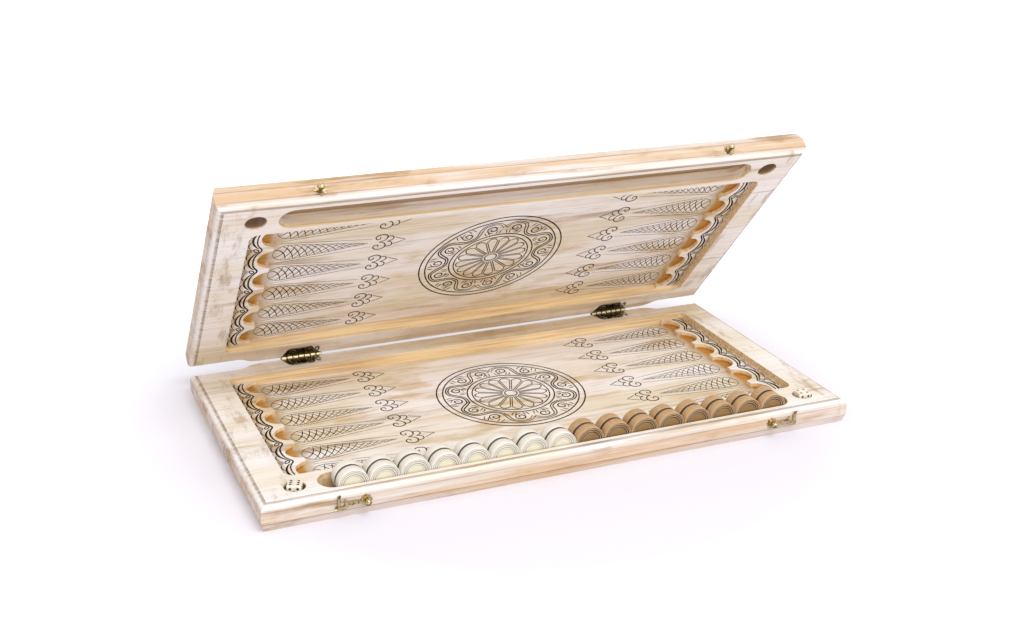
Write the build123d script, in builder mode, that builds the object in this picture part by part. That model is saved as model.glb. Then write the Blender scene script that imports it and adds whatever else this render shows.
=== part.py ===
from build123d import *
import math
import os

# Backgammon board in two hinged halves, in millimetres.
# The origin is the centre of the base's underside, X runs along the board, the front is at -Y.

# Board halves
board_length = 600.0
board_width = 300.0
half_thickness = 25.0
closing_gap = 0.4
lid_opening = 49.4

# Cove moulding round the inner face, and the bevelled foot below the side face
moulding_width = 6.8
moulding_depth = 6.6
moulding_quirk = 0.6
cove_radius = 6.5
bevel_height = 7.6
bevel_run = 2.8
bevel_quirk = 0.5

# Rear corners, set back from the rear land by an S-curve
corner_setback = 3.0
corner_length = 50.0
s_curve_length = 25.0

# Playing field, with a raised strip and six cups at each end
end_land = 33.9
rear_land = 27.4
front_land = 46.8
field_corner_radius = 9.0
field_depth = 12.0
strip_depth = 6.5
strip_width = 28.1
cup_count = 6
cup_pitch = 37.63
cup_radius = 15.0
cup_setback = 29.6

# Checker trough and dice holes, between the field and the front edge
trough_to_end = 57.2
trough_width = 29.5
trough_depth = 16.0
trough_to_front = 11.3
dice_hole_radius = 9.9
dice_hole_depth = 9.5
dice_hole_to_end = 36.7

# Checkers, standing on edge in two rows, and dice
trough_spare = 23.2
checkers_per_colour = 8
checker_play = 0.3
checker_thickness = 11.0
checker_edge_radius = 0.8
checker_dish_radius = 9.6
checker_dish_depth = 0.5
checker_to_wall = 1.0
checker_spacing = 0.8
die_size = 13.0
die_edge_radius = 1.2
pip_radius = 1.25
pip_depth = 0.5
pip_spread = 3.4
seat_clearance = 0.3

# Butterfly hinges, let into both inner faces
hinge_to_end = {"left": 119.0, "right": 115.0}
knuckle_count = 7
knuckle_length = 6.0
knuckle_spacing = 0.3
knuckle_radius = 2.0
knuckle_clearance = 0.3
hinge_pin_radius = 0.8
leaf_thickness = 1.2
leaf_reach = 20.5
leaf_corners = [(-0.81, 0.84), (-0.66, 1.0), (0.36, 1.0), (0.5, 0.81), (0.56, 0.5)]
leaf_lobe_place = (0.69, 0.59)
leaf_lobe_radii = (2.9, 6.6)
leaf_eye_radii = (1.1, 2.6)
screw_places = [(-0.48, 0.5), (0.0, 0.72), (0.4, 0.5)]
screw_head_radius = 2.0
screw_head_angle = 82.0
screw_radius = 1.0
screw_length = 9.0
screw_slot_width = 0.5
screw_slot_depth = 0.4

# Swing hooks on the base's front, and the pins that they catch on the lid
latch_to_end = {"left": 93.0, "right": 89.5}
latch_depth = 10.7
pin_radius = 1.3
pin_embedment = 9.0
ball_radius = 3.0
rosette_radius = 5.6
rosette_petals = 8
rosette_petal_radius = 1.6
rosette_thickness = 0.8
hook_thickness = 2.0
hook_side_clearance = 0.2
eye_radius = 3.8
arm_width = 3.0
jaw_radius = 5.0
notch_clearance = 0.7
finger_width = 2.6
finger_height = 11.0
finger_curl = 3.2
finger_tip = 1.6
tail_radius = 2.9
tail_reach = 6.8
tail_drop = 3.6

running_clearance = 0.05
overshoot = 2.0

# Values worked out from the sizes above
left_end = -board_length / 2
right_end = board_length / 2
hinge_positions = {"left": left_end + hinge_to_end["left"], "right": right_end - hinge_to_end["right"]}
latch_positions = {"left": left_end + latch_to_end["left"], "right": right_end - latch_to_end["right"]}
hinge_setback = knuckle_radius + knuckle_clearance
front_reach = hinge_setback + board_width
hinge_axis = Vector(0, board_width / 2 + hinge_setback, half_thickness + closing_gap / 2)
field_length = board_length - 2 * end_land
field_width = board_width - rear_land - front_land
field_centre = hinge_setback + rear_land + field_width / 2
trough_length = board_length - 2 * trough_to_end
trough_centre = front_reach - trough_to_front - trough_width / 2
checker_pitch = (trough_length - trough_spare) / (2 * checkers_per_colour)
checker_diameter = checker_pitch - checker_play
dice_hole_across = right_end - dice_hole_to_end
hinge_length = knuckle_count * (knuckle_length + knuckle_spacing)
notch_reach = 2 * latch_depth + closing_gap
hook_standoff = rosette_thickness + hook_side_clearance
screw_head_height = (screw_head_radius - screw_radius) / math.tan(math.radians(screw_head_angle / 2))


def half_plane(normal, along):
    """Inner face of a half: x along the board, y from the hinge axis to the front."""
    centre = hinge_axis - Vector(normal) * (closing_gap / 2)
    return Plane(origin=centre, x_dir=along, z_dir=normal)


tilt = math.radians(lid_opening)
base_face = half_plane((0, 0, 1), (-1, 0, 0))
lid_face = half_plane((0, -math.sin(tilt), -math.cos(tilt)), (1, 0, 0))


def across(face, x):
    """Place along the board, in the face's own x."""
    return x * face.x_dir.X


def front_plane(face):
    """Front side of a half: y runs down from the inner face into the wood."""
    centre = face.from_local_coords((0, front_reach, 0))
    return Plane(origin=centre, x_dir=face.x_dir, z_dir=face.y_dir)


def flat_edge():
    """Edge of the flat inner face, from one end of the rear land round to the other."""
    side = board_length / 2 - moulding_width
    front = front_reach - moulding_width
    rear = hinge_setback + corner_setback + moulding_width
    corner = board_length / 2 - corner_length
    land = corner - s_curve_length
    middle = ((corner + land) / 2, (rear + hinge_setback) / 2)
    first = TangentArc((-land, hinge_setback), (-middle[0], middle[1]), tangent=(-1, 0))
    second = TangentArc(first @ 1, (-corner, rear), tangent=first % 1)
    Polyline(second @ 1, (-side, rear), (-side, front), (side, front), (side, rear), (corner, rear))
    third = TangentArc((corner, rear), middle, tangent=(-1, 0))
    TangentArc(third @ 1, (land, hinge_setback), tangent=third % 1)


def outer_outline(plane, inset):
    """Outline of a half seen square to its inner face, drawn in by the inset."""
    land = board_length / 2 - corner_length - s_curve_length
    with BuildSketch(plane) as outline:
        with BuildLine():
            flat_edge()
            Line((land, hinge_setback), (-land, hinge_setback))
        make_face()
        offset(amount=moulding_width - inset, kind=Kind.INTERSECTION)
        with Locations((0, hinge_setback + board_width / 2)):
            Rectangle(board_length - 2 * inset, board_width - 2 * inset, mode=Mode.INTERSECT)
    return outline.sketch


def moulding_profile(plane):
    """Section of the wood taken off round the inner face: a quirk, then a cove."""
    with BuildSketch(plane) as profile:
        with BuildLine():
            Line((0, overshoot), (0, -moulding_quirk))
            cove = RadiusArc((0, -moulding_quirk), (moulding_width, -moulding_depth), cove_radius)
            Polyline(
                cove @ 1,
                (moulding_width + overshoot, -moulding_depth),
                (moulding_width + overshoot, overshoot),
                (0, overshoot),
            )
        make_face()
    return profile.sketch


def leaf_outline(plane, flip):
    """Hinge leaf: a point towards -x, or +x when flipped, and a pierced lobe at the other end."""
    half = flip * hinge_length / 2
    corners = [(a * half, b * leaf_reach) for a, b in leaf_corners]
    with BuildSketch(plane) as outline:
        Polygon((-half, hinge_setback), *corners, (half, hinge_setback), align=None)
        with Locations((leaf_lobe_place[0] * half, leaf_lobe_place[1] * leaf_reach)):
            Ellipse(*leaf_lobe_radii)
            Ellipse(*leaf_eye_radii, mode=Mode.SUBTRACT)
    return outline.sketch


def knuckles(first):
    """Middles of every second knuckle along the hinge, from the first one."""
    pitch = knuckle_length + knuckle_spacing
    return [(i - (knuckle_count - 1) / 2) * pitch for i in range(first, knuckle_count, 2)]


def screw_points(face, hinge_x):
    """Places of one leaf's screws on a half's inner face."""
    half = hinge_length / 2
    return [(across(face, hinge_x + a * half), b * leaf_reach) for a, b in screw_places]


def board_half(face, pin_positions):
    """One half of the board, carved from a single slab."""
    side_depth = half_thickness - bevel_height
    with BuildLine() as edge:
        flat_edge()
    path = edge.wire().moved(face.location)
    with BuildPart() as half:
        extrude(outer_outline(face, 0), amount=-side_depth)
        foot_top = outer_outline(face.offset(-side_depth), bevel_quirk)
        foot_bottom = outer_outline(face.offset(-half_thickness), bevel_run)
        loft([foot_top, foot_bottom], ruled=True)
        section = moulding_profile(Plane(origin=path @ 0, x_dir=-face.y_dir, z_dir=path % 0))
        sweep(section, path=path, transition=Transition.RIGHT, mode=Mode.SUBTRACT)
        with BuildSketch(face):
            with Locations((0, field_centre)):
                RectangleRounded(field_length, field_width, field_corner_radius)
        extrude(amount=-strip_depth, mode=Mode.SUBTRACT)
        with BuildSketch(face.offset(-strip_depth)):
            with Locations((0, field_centre)):
                Rectangle(field_length - 2 * strip_width, field_width)
                with GridLocations(field_length - 2 * cup_setback, cup_pitch, 2, cup_count):
                    Circle(cup_radius)
        extrude(amount=strip_depth - field_depth, mode=Mode.SUBTRACT)
        with BuildSketch(face):
            with Locations((0, trough_centre)):
                SlotOverall(trough_length, trough_width)
        extrude(amount=-trough_depth, mode=Mode.SUBTRACT)
        with BuildSketch(face):
            with Locations((-dice_hole_across, trough_centre), (dice_hole_across, trough_centre)):
                Circle(dice_hole_radius)
        extrude(amount=-dice_hole_depth, mode=Mode.SUBTRACT)
        for hinge_x in hinge_positions.values():
            recess = leaf_outline(leaf_plane(face, hinge_x), face.x_dir.X)
            extrude(recess, amount=-leaf_thickness, mode=Mode.SUBTRACT)
            with BuildSketch(face):
                with Locations(*screw_points(face, hinge_x)):
                    Circle(screw_radius + running_clearance)
            extrude(amount=-screw_length - seat_clearance, mode=Mode.SUBTRACT)
        with BuildSketch(front_plane(face)):
            with Locations(*[(across(face, x), latch_depth) for x in pin_positions]):
                Circle(pin_radius + running_clearance)
        extrude(amount=-pin_embedment - seat_clearance, mode=Mode.SUBTRACT)
    return half.part


def leaf_plane(face, hinge_x):
    """Inner face of a half, with its origin at the middle of a hinge."""
    return Plane(
        origin=face.from_local_coords((across(face, hinge_x), 0, 0)),
        x_dir=face.x_dir,
        z_dir=face.z_dir,
    )


def hinge_leaf(face, hinge_x, first_knuckle):
    """Leaf let flush into the wood, with every second knuckle round the pin."""
    middle = leaf_plane(face, hinge_x)
    places = knuckles(first_knuckle)
    with BuildPart(middle) as leaf:
        extrude(leaf_outline(middle, face.x_dir.X), amount=-leaf_thickness)
        with BuildSketch(middle):
            with Locations(*[(x, hinge_setback / 2) for x in places]):
                Rectangle(knuckle_length, hinge_setback)
        extrude(amount=-leaf_thickness)
        with Locations(*[(x, 0, closing_gap / 2) for x in places]):
            Cylinder(knuckle_radius, knuckle_length, rotation=(0, 90, 0))
        with Locations((0, 0, closing_gap / 2)):
            Cylinder(
                hinge_pin_radius + running_clearance,
                2 * hinge_length,
                rotation=(0, 90, 0),
                mode=Mode.SUBTRACT,
            )
        with BuildSketch(face):
            with Locations(*screw_points(face, hinge_x)):
                Circle(screw_radius + running_clearance)
        extrude(amount=-leaf_thickness, mode=Mode.SUBTRACT)
        with Locations(*[middle.to_local_coords(face.from_local_coords((x, y, 0)))
                         for x, y in screw_points(face, hinge_x)]):
            Cone(
                screw_radius + running_clearance,
                screw_head_radius + running_clearance,
                screw_head_height,
                align=(Align.CENTER, Align.CENTER, Align.MAX),
                mode=Mode.SUBTRACT,
            )
    return leaf.part


def hinge_pin(hinge_x):
    """Pin through one hinge's knuckles, along the hinge axis."""
    with BuildPart(Plane(origin=hinge_axis + Vector(hinge_x, 0, 0))) as pin:
        Cylinder(hinge_pin_radius, hinge_length - knuckle_spacing, rotation=(0, 90, 0))
        chamfer(pin.edges().filter_by(GeomType.CIRCLE), hinge_pin_radius / 4)
    return pin.part


def hinge_screws(face):
    """Countersunk screws of both leaves on one half."""
    places = screw_points(face, hinge_positions["left"]) + screw_points(face, hinge_positions["right"])
    top = (Align.CENTER, Align.CENTER, Align.MAX)
    with BuildPart(face) as screws:
        with Locations(*[(x, y, 0) for x, y in places]):
            Cone(screw_radius, screw_head_radius, screw_head_height, align=top)
            Cylinder(screw_radius, screw_length, align=top)
            Box(2 * screw_head_radius, screw_slot_width, screw_slot_depth, align=top, mode=Mode.SUBTRACT)
    return screws.part


def ball_pin(face, x):
    """Pin driven into the front of a half, with a ball head clear of the hook's thickness."""
    neck = hook_standoff + hook_thickness + hook_side_clearance
    with BuildPart(front_plane(face)) as pin:
        with Locations((across(face, x), latch_depth, -pin_embedment)):
            Cylinder(
                pin_radius,
                pin_embedment + neck + ball_radius,
                align=(Align.CENTER, Align.CENTER, Align.MIN),
            )
        with Locations((across(face, x), latch_depth, neck + ball_radius)):
            Sphere(ball_radius)
    return pin.part


def rosette(face, x):
    """Petalled plate round a pin, against the front of a half."""
    petal_reach = rosette_radius - rosette_petal_radius
    with BuildPart() as plate:
        with BuildSketch(front_plane(face)):
            with Locations((across(face, x), latch_depth)):
                Circle(petal_reach)
                with PolarLocations(petal_reach, rosette_petals):
                    Circle(rosette_petal_radius)
                Circle(pin_radius + running_clearance, mode=Mode.SUBTRACT)
        extrude(amount=rosette_thickness)
    return plate.part


def swing_hook(x):
    """Hook laid outward from its pivot: eye, arm, open jaw, finger tab and ball tail."""
    outward = math.copysign(1, x)
    front = front_plane(base_face)
    pivot = front.from_local_coords((across(base_face, x), latch_depth, hook_standoff))
    back = Plane(origin=pivot, x_dir=(outward, 0, 0), z_dir=front.z_dir)
    up = back.y_dir.Z
    finger_x = notch_reach + pin_radius + notch_clearance + finger_width / 2
    notch_radius = pin_radius + notch_clearance
    with BuildPart(back) as hook:
        with BuildSketch(back):
            Circle(eye_radius)
            with Locations((notch_reach / 2, 0)):
                Rectangle(notch_reach, arm_width)
            with Locations((notch_reach, 0)):
                Circle(jaw_radius)
                Circle(notch_radius, mode=Mode.SUBTRACT)
            with Locations((notch_reach, up * jaw_radius)):
                Rectangle(2 * notch_radius, 2 * jaw_radius, mode=Mode.SUBTRACT)
            Circle(pin_radius + running_clearance, mode=Mode.SUBTRACT)
            Polygon(
                (finger_x, 0),
                (finger_x, -up * jaw_radius),
                (notch_reach + tail_reach, -up * (tail_drop + tail_radius / 2)),
                (notch_reach + tail_reach, -up * (tail_drop - tail_radius / 2)),
                align=None,
            )
        extrude(amount=hook_thickness)
        root = back.from_local_coords((finger_x, 0, 0))
        finger = finger_profile(Plane(origin=root, x_dir=(0, 0, 1), z_dir=(1, 0, 0)))
        extrude(finger, amount=finger_width / 2, both=True)
        with Locations((notch_reach + tail_reach, -up * tail_drop, tail_radius)):
            Sphere(tail_radius)
    return hook.part


def finger_profile(plane):
    """Side view of the finger tab, x up and y to the front: it curls away from the board."""
    with BuildSketch(plane) as profile:
        with BuildLine():
            inner = Line((-jaw_radius / 2, 0), (finger_height / 2, 0))
            curl = TangentArc(inner @ 1, (finger_height, finger_curl), tangent=(1, 0))
            tip = Line(curl @ 1, (finger_height, finger_curl + finger_tip))
            outer = TangentArc((finger_height / 2, hook_thickness), tip @ 1, tangent=(1, 0))
            Polyline(outer @ 0, (-jaw_radius / 2, hook_thickness), inner @ 0)
        make_face()
    return profile.sketch


def checker(index, row):
    """Checker standing on edge in the trough, counted from the left end and from the front."""
    x = (index + 1) * checker_pitch - trough_length / 2
    wall = trough_centre + trough_width / 2 - checker_to_wall
    y = wall - checker_thickness / 2 - row * (checker_thickness + checker_spacing)
    height = seat_clearance + checker_diameter / 2 - trough_depth
    middle = base_face.from_local_coords((across(base_face, x), y, height))
    dish = (checker_thickness - checker_dish_depth) / 2
    with BuildPart(Plane(origin=middle, x_dir=(1, 0, 0), z_dir=base_face.y_dir)) as disc:
        Cylinder(checker_diameter / 2, checker_thickness)
        fillet(disc.edges().filter_by(GeomType.CIRCLE), checker_edge_radius)
        with Locations((0, 0, dish), (0, 0, -dish)):
            Cylinder(checker_dish_radius, checker_dish_depth, mode=Mode.SUBTRACT)
    return disc.part


def die(x, turn, spots):
    """Die in its hole: spots gives the numbers on top, bottom, front, back, right and left."""
    height = seat_clearance + die_size / 2 - dice_hole_depth
    middle = base_face.from_local_coords((across(base_face, x), trough_centre, height))
    normals = [(0, 0, 1), (0, 0, -1), (0, -1, 0), (0, 1, 0), (1, 0, 0), (-1, 0, 0)]
    sink = (pip_radius**2 - pip_depth**2) / (2 * pip_depth)
    ball = pip_depth + sink
    with BuildPart(Plane(origin=middle).rotated((0, 0, turn))) as cube:
        Box(die_size, die_size, die_size)
        fillet(cube.edges(), die_edge_radius)
        for normal, number in zip(normals, spots):
            with Locations(Plane(origin=Vector(normal) * (die_size / 2 + sink), z_dir=normal)):
                with Locations(*[(a * pip_spread, b * pip_spread) for a, b in pip_layouts[number]]):
                    Sphere(ball, mode=Mode.SUBTRACT)
    return cube.part


def save(name, piece):
    """Label a finished piece and write it to its own file."""
    piece.label = name
    export_step(piece, f"parts/{name}.step")


pip_layouts = {
    "1": [(0, 0)],
    "2": [(-1, -1), (1, 1)],
    "3": [(-1, -1), (0, 0), (1, 1)],
    "4": [(-1, -1), (-1, 1), (1, -1), (1, 1)],
    "5": [(-1, -1), (-1, 1), (0, 0), (1, -1), (1, 1)],
    "6": [(-1, -1), (-1, 0), (-1, 1), (1, -1), (1, 0), (1, 1)],
}
dice = {"left": (-22.0, "615234"), "right": (-3.0, "435261")}

os.makedirs("parts", exist_ok=True)
save("base_board", board_half(base_face, latch_positions.values()))
save("lid_board", board_half(lid_face, latch_positions.values()))
for side, hinge_x in hinge_positions.items():
    save(f"{side}_hinge_base_leaf", hinge_leaf(base_face, hinge_x, 0))
    save(f"{side}_hinge_lid_leaf", hinge_leaf(lid_face, hinge_x, 1))
    save(f"{side}_hinge_pin", hinge_pin(hinge_x))
save("base_hinge_screws", hinge_screws(base_face))
save("lid_hinge_screws", hinge_screws(lid_face))
for side, latch_x in latch_positions.items():
    save(f"{side}_hook_rosette", rosette(base_face, latch_x))
    save(f"{side}_hook_pivot", ball_pin(base_face, latch_x))
    save(f"{side}_hook", swing_hook(latch_x))
    save(f"{side}_catch_rosette", rosette(lid_face, latch_x))
    save(f"{side}_catch_pin", ball_pin(lid_face, latch_x))
for row, row_name in enumerate(("front", "rear")):
    for index in range(2 * checkers_per_colour):
        colour = "light" if index < checkers_per_colour else "dark"
        save(f"{colour}_checker_{row_name}_{index % checkers_per_colour + 1}", checker(index, row))
for side, (turn, spots) in dice.items():
    save(f"{side}_die", die(math.copysign(dice_hole_across, hinge_positions[side]), turn, spots))
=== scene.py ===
"""Dresses a hinged backgammon board with carving, patina, turned checkers and brass."""

import math

import bmesh
import bpy
from mathutils import Euler, Matrix, Vector


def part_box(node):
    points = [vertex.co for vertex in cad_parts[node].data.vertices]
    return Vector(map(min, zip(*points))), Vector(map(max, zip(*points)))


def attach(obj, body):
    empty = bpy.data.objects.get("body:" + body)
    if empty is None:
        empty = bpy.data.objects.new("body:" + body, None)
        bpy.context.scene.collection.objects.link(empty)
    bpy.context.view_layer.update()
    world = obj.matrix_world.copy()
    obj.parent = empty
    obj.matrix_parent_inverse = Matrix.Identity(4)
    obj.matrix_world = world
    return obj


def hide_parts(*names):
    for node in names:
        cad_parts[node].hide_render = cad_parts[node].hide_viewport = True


bl_info = {
    "name": "Backgammon Board",
    "version": (1, 0, 0),
    "blender": (4, 5, 0),
    "location": "3D Viewport > Sidebar > Backgammon",
    "description": "Dresses a carved wooden backgammon board with its checkers, dice and brass",
    "category": "Object",
}

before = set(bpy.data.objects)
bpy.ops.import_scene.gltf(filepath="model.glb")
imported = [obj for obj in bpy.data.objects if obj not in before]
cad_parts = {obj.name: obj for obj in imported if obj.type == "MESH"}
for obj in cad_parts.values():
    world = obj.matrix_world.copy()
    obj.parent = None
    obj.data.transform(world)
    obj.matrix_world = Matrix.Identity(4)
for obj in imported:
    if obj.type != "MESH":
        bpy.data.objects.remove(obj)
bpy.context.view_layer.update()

# The two halves, in millimetres: the hinge axis, the lid's opening and the gap between closed halves
MM = 0.001
HINGE_HEIGHT = 25.2
HINGE_BACK = 152.3
HALF_GAP = 0.2
LID_OPENING = math.radians(49.4)

# The playing field of each half: distances from the middle of the board and from the hinge axis
FIELD_MIDDLE = 142.55
FIELD_FLOOR = -12.0
STRIP_FLOOR = -6.5
STRIP_EDGE = 238.0
HINGE_MIDDLES = {"left": -181.0, "right": 185.0}
KNUCKLE_PITCH = 6.3
CUP_PITCH = 37.63
CUP_ROWS = [FIELD_MIDDLE + (row - 2.5) * CUP_PITCH for row in range(6)]

# Turned face of a disc, as shares of its radius and of the ring depth. Its outer corner stays inside
# the rounded edge of the plain disc, which is what keeps it clear of the trough's round end.
RING_PROFILE = (
    (0.0, 1.2), (0.12, 1.3), (0.3, 1.5), (0.5, 1.6), (0.56, 1.5), (0.57, 0.5), (0.62, 0.4), (0.63, 1.7),
    (0.695, 1.7), (0.705, 0.4), (0.755, 0.3), (0.765, 1.6), (0.83, 1.6), (0.84, 0.2), (0.885, 0.1),
    (0.89, 1.5), (0.93, 1.5), (0.94, 0.1), (0.955, 0.1), (0.975, 0.4), (0.985, 0.6), (1.0, 1.6),
)


def tone(code):
    """Linear colour of a hexadecimal display colour."""
    levels = [int(code[place:place + 2], 16) / 255 for place in (0, 2, 4)]
    return tuple(v / 12.92 if v < 0.04045 else ((v + 0.055) / 1.055) ** 2.4 for v in levels)


def colour_setting(name, description, code):
    """Colour property with its default."""
    return bpy.props.FloatVectorProperty(
        name=name, description=description, subtype="COLOR", size=3, min=0.0, max=1.0,
        default=tone(code))


class BackgammonWood(bpy.types.PropertyGroup):
    """Colours of the patinated boards."""

    chalk: colour_setting("Chalk", "Palest part of the whitewash on the lands", "f7f1ee")
    cream: colour_setting("Cream", "Whitewash where it has yellowed", "efe4d3")
    field: colour_setting("Field", "Whitewashed wood on the floor of the playing field", "e9dcc5")
    # Umber also serves as painted shade at the feet of the walls and on the trough floor.
    umber: colour_setting("Umber", "Brown wood that the whitewash leaves bare", "9a7438")
    tan: colour_setting("Tan", "Wood near the hinges, where the whitewash is thin", "cdad78")
    honey: colour_setting("Honey", "Oiled wood on the walls of the field", "f5d8a6")
    amber: colour_setting("Amber", "Oiled wood in the cups", "c48c42")
    oak: colour_setting("Oak", "Bare wood on the side faces", "d0a97c")
    # Painted shade: a grey-beige that darkens the side faces, standing for the weaker light they get than
    # the tops.
    painted_side_shade: colour_setting("Ash", "Greyed whitewash on the side faces", "d2c1b4")
    # Groove also serves as painted shade inside the dice holes.
    groove: colour_setting("Groove", "Dark wax left in the narrow quirks", "6e4c2a")
    wear: bpy.props.FloatProperty(
        name="Wear", description="How much brown shows through the whitewash",
        default=0.5, min=0.0, max=1.0, subtype="FACTOR")


class BackgammonCarving(bpy.types.PropertyGroup):
    """Sizes and colour of the engraved ornament."""

    line_width: bpy.props.FloatProperty(
        name="Line width", description="Width of a full engraved line in millimetres",
        default=1.45, min=0.3, max=2.0)
    line_depth: bpy.props.FloatProperty(
        name="Line depth", description="Depth of an engraved line in millimetres",
        default=0.16, min=0.05, max=0.4)
    petal_strokes: bpy.props.IntProperty(
        name="Petal strokes", description="Curved strokes that cross each pointed petal one way",
        default=13, min=4, max=20)
    spokes: bpy.props.IntProperty(
        name="Spokes", description="Spokes of the wheel in the middle of the medallion",
        default=16, min=6, max=24)
    wax: colour_setting("Wax", "Dark wax in the engraved lines", "2b1c0f")


class BackgammonPieces(bpy.types.PropertyGroup):
    """Colours and turning of the checkers and the dice."""

    light: colour_setting("Light checkers", "Bleached wood of the light checkers", "ebe5d9")
    light_heart: colour_setting("Light heart", "Dished middle of the light checkers", "e2dbc2")
    dark: colour_setting("Dark checkers", "Warm brown wood of the dark checkers", "c39f74")
    dark_heart: colour_setting("Dark heart", "Dished middle of the dark checkers", "8f6b38")
    bone: colour_setting("Dice", "Bone colour of the dice", "f2e9d6")
    ring_depth: bpy.props.FloatProperty(
        name="Ring depth", description="Depth of the turned rings in metres",
        default=0.0006, min=0.0001, max=0.001, unit="LENGTH")
    gap_depth: bpy.props.FloatProperty(
        name="Gap depth",
        description="How far the faces stand back where two rows face each other, in metres",
        default=0.0008, min=0.0, max=0.002, unit="LENGTH")


class BackgammonMetal(bpy.types.PropertyGroup):
    """Colours of the brass fittings."""

    brass: colour_setting("Brass", "Bright brass of hooks, pins and balls", "dcc596")
    # This colour is real tarnish in patches and also painted shade on the downward faces of the brass.
    tarnish_and_shade: colour_setting("Tarnish", "Darkened brass in the hollows", "1c1309")
    antique: colour_setting("Antique brass", "Aged brass of the hinge leaves", "6e5730")
    # On the hinge knuckles this pale colour is a painted highlight.
    rubbed: colour_setting("Rubbed brass", "Brass rubbed bright on the knuckles and scrolls", "efdfb2")


class BackgammonStage(bpy.types.PropertyGroup):
    """Camera and lights of the studio."""

    camera_place: bpy.props.FloatVectorProperty(
        name="Camera place", description="Where the camera stands",
        default=(-0.5224, -1.1600, 0.6011), size=3, subtype="TRANSLATION", unit="LENGTH")
    camera_turn: bpy.props.FloatVectorProperty(
        name="Camera turn", description="How the camera is turned",
        default=(math.radians(68.388), math.radians(-1.128), math.radians(-23.598)),
        size=3, subtype="EULER", unit="ROTATION")
    lens: bpy.props.FloatProperty(
        name="Lens", description="Focal length in millimetres on a 36 mm wide sensor",
        default=48.21, min=10.0, max=200.0, unit="CAMERA")
    key_power: bpy.props.FloatProperty(
        name="Key power", description="Power of the large soft light over the board",
        default=23.0, min=0.0, unit="POWER")
    fill_power: bpy.props.FloatProperty(
        name="Fill power", description="Power of the soft light in front of the board",
        default=12.0, min=0.0, unit="POWER")


SETTINGS = {
    "backgammon_wood": BackgammonWood,
    "backgammon_carving": BackgammonCarving,
    "backgammon_pieces": BackgammonPieces,
    "backgammon_metal": BackgammonMetal,
    "backgammon_stage": BackgammonStage,
}


class Finish:
    """Node material that is built up one layer at a time."""

    def __init__(self, name):
        self.material = bpy.data.materials.new(name)
        self.material.use_nodes = True
        self.tree = self.material.node_tree
        self.tree.nodes.clear()
        self.shader = self.tree.nodes.new("ShaderNodeBsdfPrincipled")
        output = self.tree.nodes.new("ShaderNodeOutputMaterial")
        self.tree.links.new(self.shader.outputs["BSDF"], output.inputs["Surface"])
        place = self.tree.nodes.new("ShaderNodeTexCoord")
        self.point = place.outputs["Object"]
        self.normal = place.outputs["Normal"]

    def feed(self, socket, value):
        """Link a socket to another one, or set its value."""
        if isinstance(value, bpy.types.NodeSocket):
            self.tree.links.new(value, socket)
        elif hasattr(socket.default_value, "__len__") and len(value) == 3 and socket.type == "RGBA":
            socket.default_value = (*value, 1.0)
        else:
            socket.default_value = value

    def set(self, name, value):
        """Feed one input of the shader."""
        self.feed(self.shader.inputs[name], value)

    def math(self, operation, first, second=0.0):
        """Arithmetic on two values."""
        node = self.tree.nodes.new("ShaderNodeMath")
        node.operation = operation
        self.feed(node.inputs[0], first)
        self.feed(node.inputs[1], second)
        return node.outputs[0]

    def times(self, *values):
        """Product of several masks."""
        product = values[0]
        for value in values[1:]:
            product = self.math("MULTIPLY", product, value)
        return product

    def ramp(self, value, low, high, start=0.0, end=1.0):
        """Smooth step of a value, from start at low to end at high."""
        node = self.tree.nodes.new("ShaderNodeMapRange")
        node.interpolation_type = "SMOOTHSTEP"
        self.feed(node.inputs["Value"], value)
        self.feed(node.inputs["From Min"], low)
        self.feed(node.inputs["From Max"], high)
        self.feed(node.inputs["To Min"], start)
        self.feed(node.inputs["To Max"], end)
        return node.outputs["Result"]

    def place(self, point, scale=(1, 1, 1), turn=(0, 0, 0), shift=(0, 0, 0)):
        """Scale, turn and shift a pattern's coordinates."""
        node = self.tree.nodes.new("ShaderNodeMapping")
        self.feed(node.inputs["Vector"], point)
        self.feed(node.inputs["Scale"], scale)
        self.feed(node.inputs["Rotation"], turn)
        self.feed(node.inputs["Location"], shift)
        return node.outputs["Vector"]

    def noise(self, point, scale, detail=4.0, roughness=0.55, distortion=0.0):
        """Grey noise of a size in patterns per unit."""
        node = self.tree.nodes.new("ShaderNodeTexNoise")
        self.feed(node.inputs["Vector"], point)
        self.feed(node.inputs["Scale"], scale)
        self.feed(node.inputs["Detail"], detail)
        self.feed(node.inputs["Roughness"], roughness)
        self.feed(node.inputs["Distortion"], distortion)
        return node.outputs["Fac"]

    def blend(self, amount, first, second):
        """Colour between two others."""
        node = self.tree.nodes.new("ShaderNodeMix")
        node.data_type = "RGBA"
        self.feed(node.inputs[0], amount)
        self.feed(node.inputs[6], first)
        self.feed(node.inputs[7], second)
        return node.outputs[2]

    def bump(self, height, distance, strength=1.0):
        """Relief from a height of 0 to 1."""
        node = self.tree.nodes.new("ShaderNodeBump")
        self.feed(node.inputs["Height"], height)
        self.feed(node.inputs["Distance"], distance)
        self.feed(node.inputs["Strength"], strength)
        self.set("Normal", node.outputs["Normal"])

    def split(self, point):
        """X, Y and Z of a point."""
        node = self.tree.nodes.new("ShaderNodeSeparateXYZ")
        self.feed(node.inputs[0], point)
        return node.outputs

    def attribute(self, name):
        """Value stored on the piece's own vertices."""
        node = self.tree.nodes.new("ShaderNodeAttribute")
        node.attribute_name = name
        return node.outputs["Fac"]

    def along(self, point, direction):
        """Part of a vector along a fixed direction."""
        node = self.tree.nodes.new("ShaderNodeVectorMath")
        node.operation = "DOT_PRODUCT"
        self.feed(node.inputs[0], point)
        self.feed(node.inputs[1], direction)
        return node.outputs["Value"]


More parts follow.
